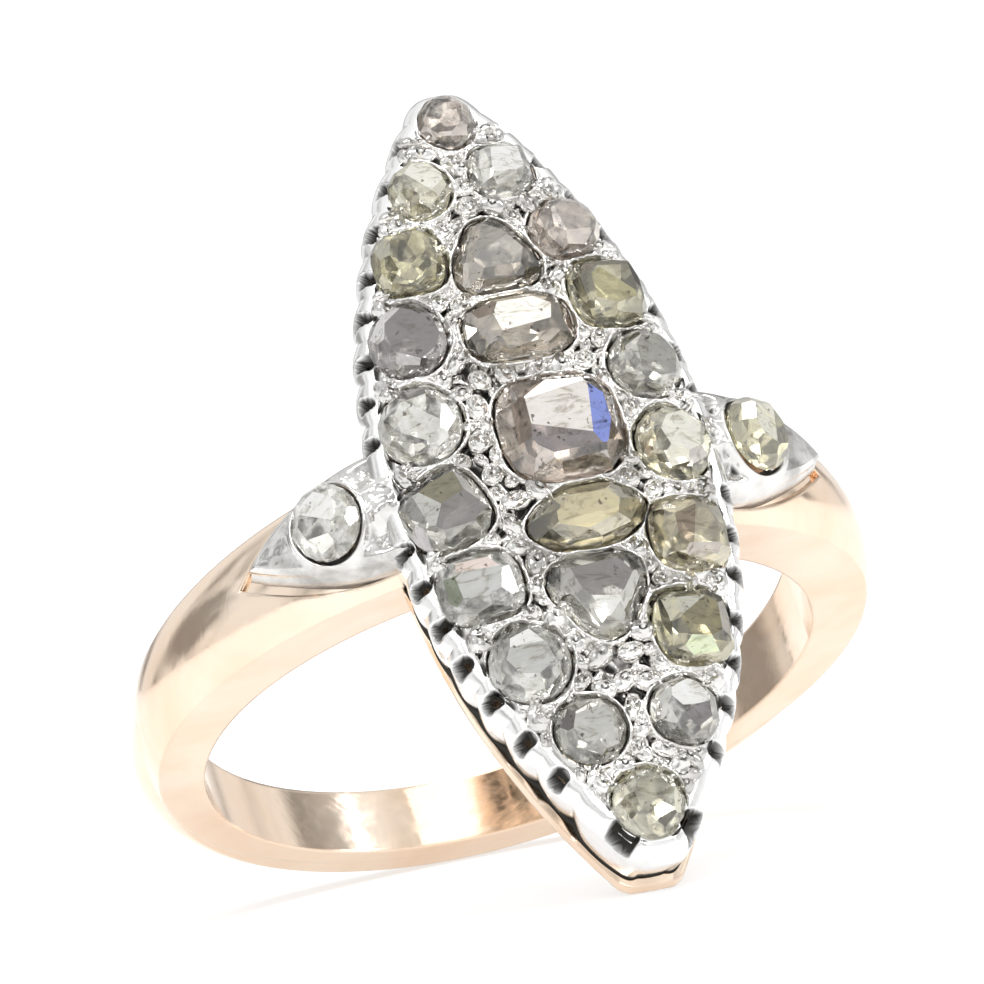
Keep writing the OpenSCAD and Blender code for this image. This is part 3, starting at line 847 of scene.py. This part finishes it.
def cut_tier(bm, width, length, kind, low, high, count, shift, rnd, wobble):
    """A row of facets that climbs from one scaled outline and height to another."""
    def spot(angle, part, z=0):
        r = part * float(outline_r(kind, np.array(angle)))
        return Vector((width / 2 * r * math.cos(angle), length / 2 * r * math.sin(angle), z))

    for k in range(count):
        a = 2 * math.pi * (k + shift + rnd.uniform(-wobble, wobble)) / count
        tangent = (spot(a + 0.05, 1) - spot(a - 0.05, 1)).normalized()
        outward = Vector((tangent.y, -tangent.x, 0))
        foot = spot(a, *low)
        head = spot(a, high[0], high[1] * (1 + rnd.uniform(-0.06, 0.06)))
        climb = head - foot
        run = -climb.dot(outward)
        normal = (outward * climb.z + Vector((0, 0, 1)) * run).normalized()
        slice_off(bm, foot, normal)


def cut_stone(width, length, kind, rise, seed, extra=(), table=TABLE_PART):
    """A stone as a bmesh, its face pointing along Z, with facets of uneven size like an old cut."""
    rnd = random.Random(seed)
    bm = bmesh.new()
    n = 2 * STONE_SIDES
    rings = [ring_points(width, length, kind, part, z, n)
             for part, z in ((0.84, -STONE_DEPTH), (1, -0.05), (1, 0.08), (1, rise + 0.1))]
    verts = [[bm.verts.new(p) for p in ring] for ring in rings]
    for low, high in zip(verts, verts[1:]):
        for k in range(n):
            bm.faces.new([low[k], low[(k + 1) % n], high[(k + 1) % n], high[k]])
    bm.faces.new(list(reversed(verts[0])))
    bm.faces.new(verts[-1])
    mid = (0.80, 0.62 * rise)
    cut_tier(bm, width, length, kind, (1.0, 0.05), mid, STONE_SIDES, rnd.random(), rnd, 0.16)
    cut_tier(bm, width, length, kind, mid, (table, rise), STONE_SIDES - 3, rnd.random(), rnd, 0.22)
    lean = Vector((rnd.uniform(-0.07, 0.07), rnd.uniform(-0.07, 0.07), 1)).normalized()
    slice_off(bm, Vector((0, 0, rise * 0.985)), lean)
    if not extra:
        spot = Vector((rnd.uniform(-0.3, 0.3) * width, rnd.uniform(-0.3, 0.3) * length, rise * 0.99))
        slice_off(bm, spot, Vector((rnd.uniform(-0.25, 0.25), rnd.uniform(-0.25, 0.25), 1)).normalized())
    for x, y, across, along in extra:
        way = Vector((math.tan(math.radians(across)), math.tan(math.radians(along)), 1))
        slice_off(bm, Vector((x, y, rise * 0.98)), way.normalized())
    for k in range(8):
        a = 2 * math.pi * (k + rnd.uniform(-0.2, 0.2)) / 8
        reach = 0.86 * float(outline_r(kind, np.array(a)))
        spot = Vector((width / 2 * reach * math.cos(a), length / 2 * reach * math.sin(a), -0.10))
        steep = rnd.uniform(0.28, 0.46)
        slice_off(bm, spot, Vector((steep * math.cos(a), steep * math.sin(a), -1)).normalized())
    bmesh.ops.recalc_face_normals(bm, faces=bm.faces[:])
    return bm


def paint_facet_reflections(bm, body, marks, rnd):
    """A painted reflection for every facet, as a colour and a mirror share: clear or silvery on the face,
    toned light and dark at the back.
    """
    def height(face, x, y):
        c = face.calc_center_median()
        return c.z - ((x - c.x) * face.normal.x + (y - c.y) * face.normal.y) / face.normal.z

    mean = sum(body) / 3
    colours, mirrors = [], []
    for face in bm.faces:
        grey = rnd.uniform(0.0, 0.5)
        if face.normal.z > FACE_MIN:
            silvery = rnd.random() < 0.45
            level = rnd.uniform(0.72, 1.0) if silvery else rnd.uniform(0.92, 1.0)
            colours.append(tuple(level * (0.5 + 0.5 * (c * (1 - grey) + mean * grey)) for c in body))
            mirrors.append(rnd.uniform(0.25, 0.75) if silvery else rnd.uniform(0.0, 0.10))
        else:
            level = rnd.choice((0.40, 0.80, 1.0, 1.1, 1.1)) * rnd.uniform(0.85, 1.05)
            colours.append(tuple(level * (c * (1 - grey) + mean * grey) for c in body))
            mirrors.append(0.0)

    front = [face for face in bm.faces if face.normal.z > 0.1]
    # Marked facets get a painted flash, shade, fire or tinted reflection of their own
    for x, y, tone in marks:
        # The facet over a point of a convex stone is the one whose plane lies lowest there
        k = min(front, key=lambda face: height(face, x, y)).index
        colours[k], mirrors[k] = PAINTED_TONES[tone]
    return colours, mirrors


def stone_piece(name, bm, matrix, tint, milky, seed):
    """The stone as a piece of the scene, in its seat, with a painted reflection as a tone on each facet."""
    bm.faces.ensure_lookup_table()
    bm.faces.index_update()
    marks = PAINTED_FACETS.get(name, [])
    colours, mirrors = paint_facet_reflections(bm, TINTS[tint], marks, random.Random(1000 + seed))
    for face in bm.faces:
        face.material_index = 0 if face.normal.z > FACE_MIN else 1
    mesh = bpy.data.meshes.new(name)
    bm.to_mesh(mesh)
    bm.free()
    layer = mesh.attributes.new("facet", "FLOAT_COLOR", "FACE")
    for datum, colour in zip(layer.data, colours):
        datum.color = (*colour, 1)
    glint = mesh.attributes.new("glint", "FLOAT", "FACE")
    glint.data.foreach_set("value", np.array(mirrors, np.float32))
    points = np.empty(3 * len(mesh.vertices))
    mesh.vertices.foreach_get("co", points)
    local = np.array(matrix)
    points = points.reshape(-1, 3) @ local[:3, :3].T + local[:3, 3]
    mesh.vertices.foreach_set("co", place(points).ravel())
    mesh.materials.append(diamond_material(tint, milky))
    mesh.materials.append(foil_material(tint))
    mesh.update()
    obj = bpy.data.objects.new(name + "_cut", mesh)
    bpy.context.collection.objects.link(obj)
    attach(obj, "root")
    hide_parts(name)


def on_crown(u, v, turn):
    """Place on the crown, square to it, in ring axes."""
    lean_u = Matrix.Rotation(math.asin(u / CROWN_R), 4, "Y")
    lean_v = Matrix.Rotation(-math.asin(v / CROWN_LONG_R), 4, "X")
    spot = Matrix.Translation((u, v, float(crown_at(u, v))))
    head = Matrix.Rotation(math.radians(HEAD_TURN), 4, "Z")
    return head @ spot @ lean_u @ lean_v @ Matrix.Rotation(math.radians(turn), 4, "Z")


def on_cap(angle):
    """Place on a shoulder cap, square to it, in ring axes."""
    return (Matrix.Translation((0, CAP_SHIFT, CAP_RISE)) @ Matrix.Rotation(math.radians(angle), 4, "Y")
            @ Matrix.Translation((0, 0, CAP_R)))


def build_stones():
    """The stones of the head, then the two of the shoulders."""
    for k, (name, u, v, width, length, turn, kind, rise, tint, milky) in enumerate(STONES):
        extra = EXTRA_FACETS.get(name, [])
        table = MAIN_TABLE_PART if name == "stone_centre_main" else TABLE_PART
        bm = cut_stone(width, length, kind, rise, k, extra, table)
        stone_piece(name, bm, on_crown(u, v, turn), tint, milky, k)
    for k, (name, angle, tint, milky) in enumerate(CAP_STONES):
        bm = cut_stone(**CAP_STONE, kind="round", seed=50 + k)
        stone_piece(name, bm, on_cap(angle), tint, milky, 50 + k)


# Shoulder caps: rows and columns, how far their sides go down at the tip and at the head, how far they
# go in under the head, radius of their rounded edge
CAP_ROWS = 110
CAP_COLS = 90
CAP_SKIRT_TIP = 0.45
CAP_SKIRT_HEAD = 1.05
CAP_TUCK = 0.42
CAP_ROLL = 0.22


def build_cap(side):
    """One worked cap: a leaf with a seat for its stone, sunk grounds beside the head and soft edges, with
    painted shade and some oxide in its pits, round its stone and down its sides.
    """
    middle = HEAD_W / 2
    reach = CAP_REACH - middle
    leaf_r = fall_r(reach, CAP_W / 2)
    arc_r = fall_r(CAP_W / 2 + GAP, CAP_FALL)
    u = np.linspace(middle - CAP_TUCK, CAP_REACH - 0.01, CAP_ROWS)
    wide = np.sqrt(np.clip(leaf_r**2 - np.clip(u - middle, 0, None) ** 2, 0, None))
    wide = wide - (leaf_r - CAP_W / 2)
    s = np.linspace(-1, 1, CAP_COLS)
    y = wide[:, None] * s[None, :]
    uu = np.repeat(u[:, None], CAP_COLS, axis=1)
    angle = np.arcsin(uu / CAP_R)
    row = CAP_STONES[0 if side < 0 else 1]
    stone_angle = math.radians(abs(row[1]))
    x_local = (angle - stone_angle) * CAP_R
    e1 = outside_stone(x_local, y, CAP_STONE["width"], CAP_STONE["length"], 0, "round")
    inside = np.minimum(wide[:, None] * (1 - abs(s[None, :])) * 0.9, 0.9 * (CAP_REACH - uu))
    pocket = smoothstep(-0.04, 0.07, e1)
    lip = 0.10 * np.exp(-(((e1 - 0.11) / 0.09) ** 2))
    near_head = 1 - smoothstep(middle + 0.2, middle + 1.0, uu)
    away = smoothstep(0.15, 0.5, inside) * smoothstep(0.05, 0.3, e1)
    crease = (0.05 + 0.20 * near_head) * (ridged(1.7 * uu, 1.7 * y, 41 + side) - 0.6) * away
    recess = -0.26 * near_head * away * smoothstep(0.35, 0.9, abs(y))
    drop = np.clip(CAP_ROLL - inside, 0, CAP_ROLL)
    roll = CAP_ROLL - np.sqrt(CAP_ROLL**2 - drop**2)
    relief = -0.3 * (1 - pocket) + (lip + crease + recess) * pocket - roll
    # Painted shade with some oxide: dark in pits and round the stone's seat
    dark = smoothstep(0.02, 0.10, blurred(relief, 6) - relief) * away
    dark = np.maximum(dark, (1 - smoothstep(-0.02, 0.03, e1)) * 0.9)
    radius = CAP_R - arc_r + np.sqrt(arc_r**2 - y**2) + relief
    out, height = radius * np.sin(angle), radius * np.cos(angle)
    # The silver goes on down the shoulder's sides, furthest next to the head
    depth = CAP_SKIRT_TIP + (CAP_SKIRT_HEAD - CAP_SKIRT_TIP) * (1 - smoothstep(middle, CAP_REACH, u))
    # The side rows get darker downwards: painted shade under the cap, ending in a near black line at the
    # gold that is both shade and a dark joint
    for share, flare, skirt_shade_and_seam in ((0.3, 0.03, 0.1), (0.9, 0.06, 0.2), (1.0, 0.04, 0.9)):
        out = np.hstack([out[:, :1], out, out[:, -1:]])
        height = np.hstack([radius[:, :1] * np.cos(angle[:, :1]) - share * depth[:, None], height,
                            radius[:, -1:] * np.cos(angle[:, -1:]) - share * depth[:, None]])
        y = np.hstack([-wide[:, None] - flare, y, wide[:, None] + flare])
        edge = np.full((CAP_ROWS, 1), skirt_shade_and_seam)
        dark = np.hstack([edge, dark, edge])
        e1 = np.hstack([edge, e1, edge])
    points = np.stack([side * out, CAP_SHIFT + y, CAP_RISE + height], -1)
    faces = grid_faces(*points.shape[:2], keep=e1 > -0.14)
    if side > 0:
        faces = faces[:, ::-1]
    points, faces, shade = used_only(points.reshape(-1, 3), faces, dark.ravel())
    name = "shoulder_cap_left" if side < 0 else "shoulder_cap_right"
    obj = piece(name + "_worked", place(points), faces, SILVER_CROWN, {"dark": shade})
    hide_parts(name)


# Everything on the ring
build_crown()
build_grains()
build_wall()
build_stones()
build_cap(-1)
build_cap(1)
shank = frame["nodes"]["shank"]
gold = gold_material()
for material_slot in shank.material_slots:
    material_slot.material = gold

# Floor, light and camera, in metres. Half the floor's side, and the distance of the soft boxes
FLOOR_HALF = 1.2
LIGHT_DISTANCE = 0.5
# Soft boxes: name, direction from the ring in ring axes, size, power
SOFT_BOXES = [
    ("box_mirror",    ( 0.25,  0.43, 0.87), (0.26, 0.20), 0.17),
    ("box_above",     ( 0.25,  0.78, 0.58), (0.14, 0.10), 0.45),
    ("box_left",      (-0.55,  0.45, 0.75), (0.10, 0.16), 0.40),
    ("box_right",     ( 0.85,  0.25, 0.55), (0.10, 0.18), 0.35),
    ("box_high",      ( 0.10,  0.85, 0.45), (0.20, 0.10), 0.45),
    ("box_front",     (-0.10, -0.05, 1.00), (0.10, 0.08), 0.25),
]
# The photograph's view in ring axes: the image's right, the way to the camera and its distance, the
# width of the view, and how far the view's middle lies right of and above the hoop's middle
VIEW_RIGHT = (0.9502, -0.2829, 0.1309)
VIEW_TOWARD = (-0.2467, -0.4259, 0.8705)
VIEW_DISTANCE = 1.0
VIEW_WIDTH = 0.02677
VIEW_MIDDLE = (-0.000127, 0.004638)
SENSOR_W = 36


def build_floor():
    """A plain pale sheet under the ring."""
    mesh = bpy.data.meshes.new("floor")
    corners = [(x * FLOOR_HALF, y * FLOOR_HALF, 0) for x, y in ((-1, -1), (1, -1), (1, 1), (-1, 1))]
    mesh.from_pydata(corners, [], [(0, 1, 2, 3)])
    obj = bpy.data.objects.new("floor", mesh)
    bpy.context.collection.objects.link(obj)
    material, nodes, links, bsdf = new_material("floor_paper")
    grain = noise_node(nodes, links, 30, 3, 0.5, 0, object_coords(nodes))
    links.new(ramp_node(nodes, links, grain, [(0.3, 0.45), (0.7, 0.48)]), bsdf.inputs["Base Color"])
    preset(bsdf, {"Roughness": 0.9, "Specular IOR Level": 0.1})
    preset(bsdf, {"Emission Color": (1, 1, 1, 1), "Emission Strength": 0.58})
    mesh.materials.append(material)


def build_world():
    """Soft studio surroundings: bright sheets with darker gaps between them."""
    world = bpy.data.worlds.new("studio")
    bpy.context.scene.world = world
    world.use_nodes = True
    nodes, links = world.node_tree.nodes, world.node_tree.links
    background = nodes["Background"]
    coords = nodes.new("ShaderNodeTexCoord").outputs["Generated"]
    gaps = noise_node(nodes, links, 2.6, 2, 0.4, 0.6, coords)
    sheets = ramp_node(nodes, links, gaps, [(0.40, (0.36, 0.35, 0.34)), (0.47, 0.74), (0.55, 1)])
    axes = nodes.new("ShaderNodeSeparateXYZ")
    links.new(coords, axes.inputs[0])
    overhead = ramp_node(nodes, links, axes.outputs["Z"], [(0.45, 0), (0.80, 1)])
    light = mix_node(nodes, links, "MIX", overhead, sheets, (1, 1, 1, 1))
    links.new(light, background.inputs["Color"])
    background.inputs["Strength"].default_value = 0.93


def ring_way(direction):
    """A direction in ring axes as one in the frame."""
    return sum((Vector(axis) * d for axis, d in zip((AXIS_U, AXIS_V, AXIS_W), direction)), Vector())


def area_light(name, direction, size, power):
    """A soft box that faces the ring."""
    data = bpy.data.lights.new(name, "AREA")
    data.shape = "RECTANGLE"
    data.size, data.size_y = size
    data.energy = power
    obj = bpy.data.objects.new(name, data)
    aim = Vector(HOOP / 1000)
    obj.location = aim + ring_way(direction).normalized() * LIGHT_DISTANCE
    obj.rotation_mode = "QUATERNION"
    obj.rotation_quaternion = (aim - obj.location).to_track_quat("-Z", "Y")
    bpy.context.collection.objects.link(obj)


def build_camera():
    """The photograph's view: from the front, a little above the table and rolled as the camera was held."""
    toward = Vector(VIEW_TOWARD)
    up = toward.cross(Vector(VIEW_RIGHT)).normalized()
    right = up.cross(toward).normalized()
    right, up, toward = map(ring_way, (right, up, toward))
    data = bpy.data.cameras.new("camera")
    data.sensor_width = SENSOR_W
    data.lens = SENSOR_W * VIEW_DISTANCE / VIEW_WIDTH
    data.clip_start, data.clip_end = 0.05, 10
    obj = bpy.data.objects.new("camera", data)
    rotation = Matrix((right, up, toward)).transposed()
    location = Vector(HOOP / 1000) + toward * VIEW_DISTANCE + right * VIEW_MIDDLE[0] + up * VIEW_MIDDLE[1]
    obj.matrix_world = Matrix.Translation(location) @ rotation.to_4x4()
    bpy.context.collection.objects.link(obj)
    bpy.context.scene.camera = obj


build_floor()
build_world()
build_camera()
for name, direction, size, power in SOFT_BOXES:
    area_light(name, direction, size, power)
bpy.context.scene.view_settings.view_transform = "Standard"
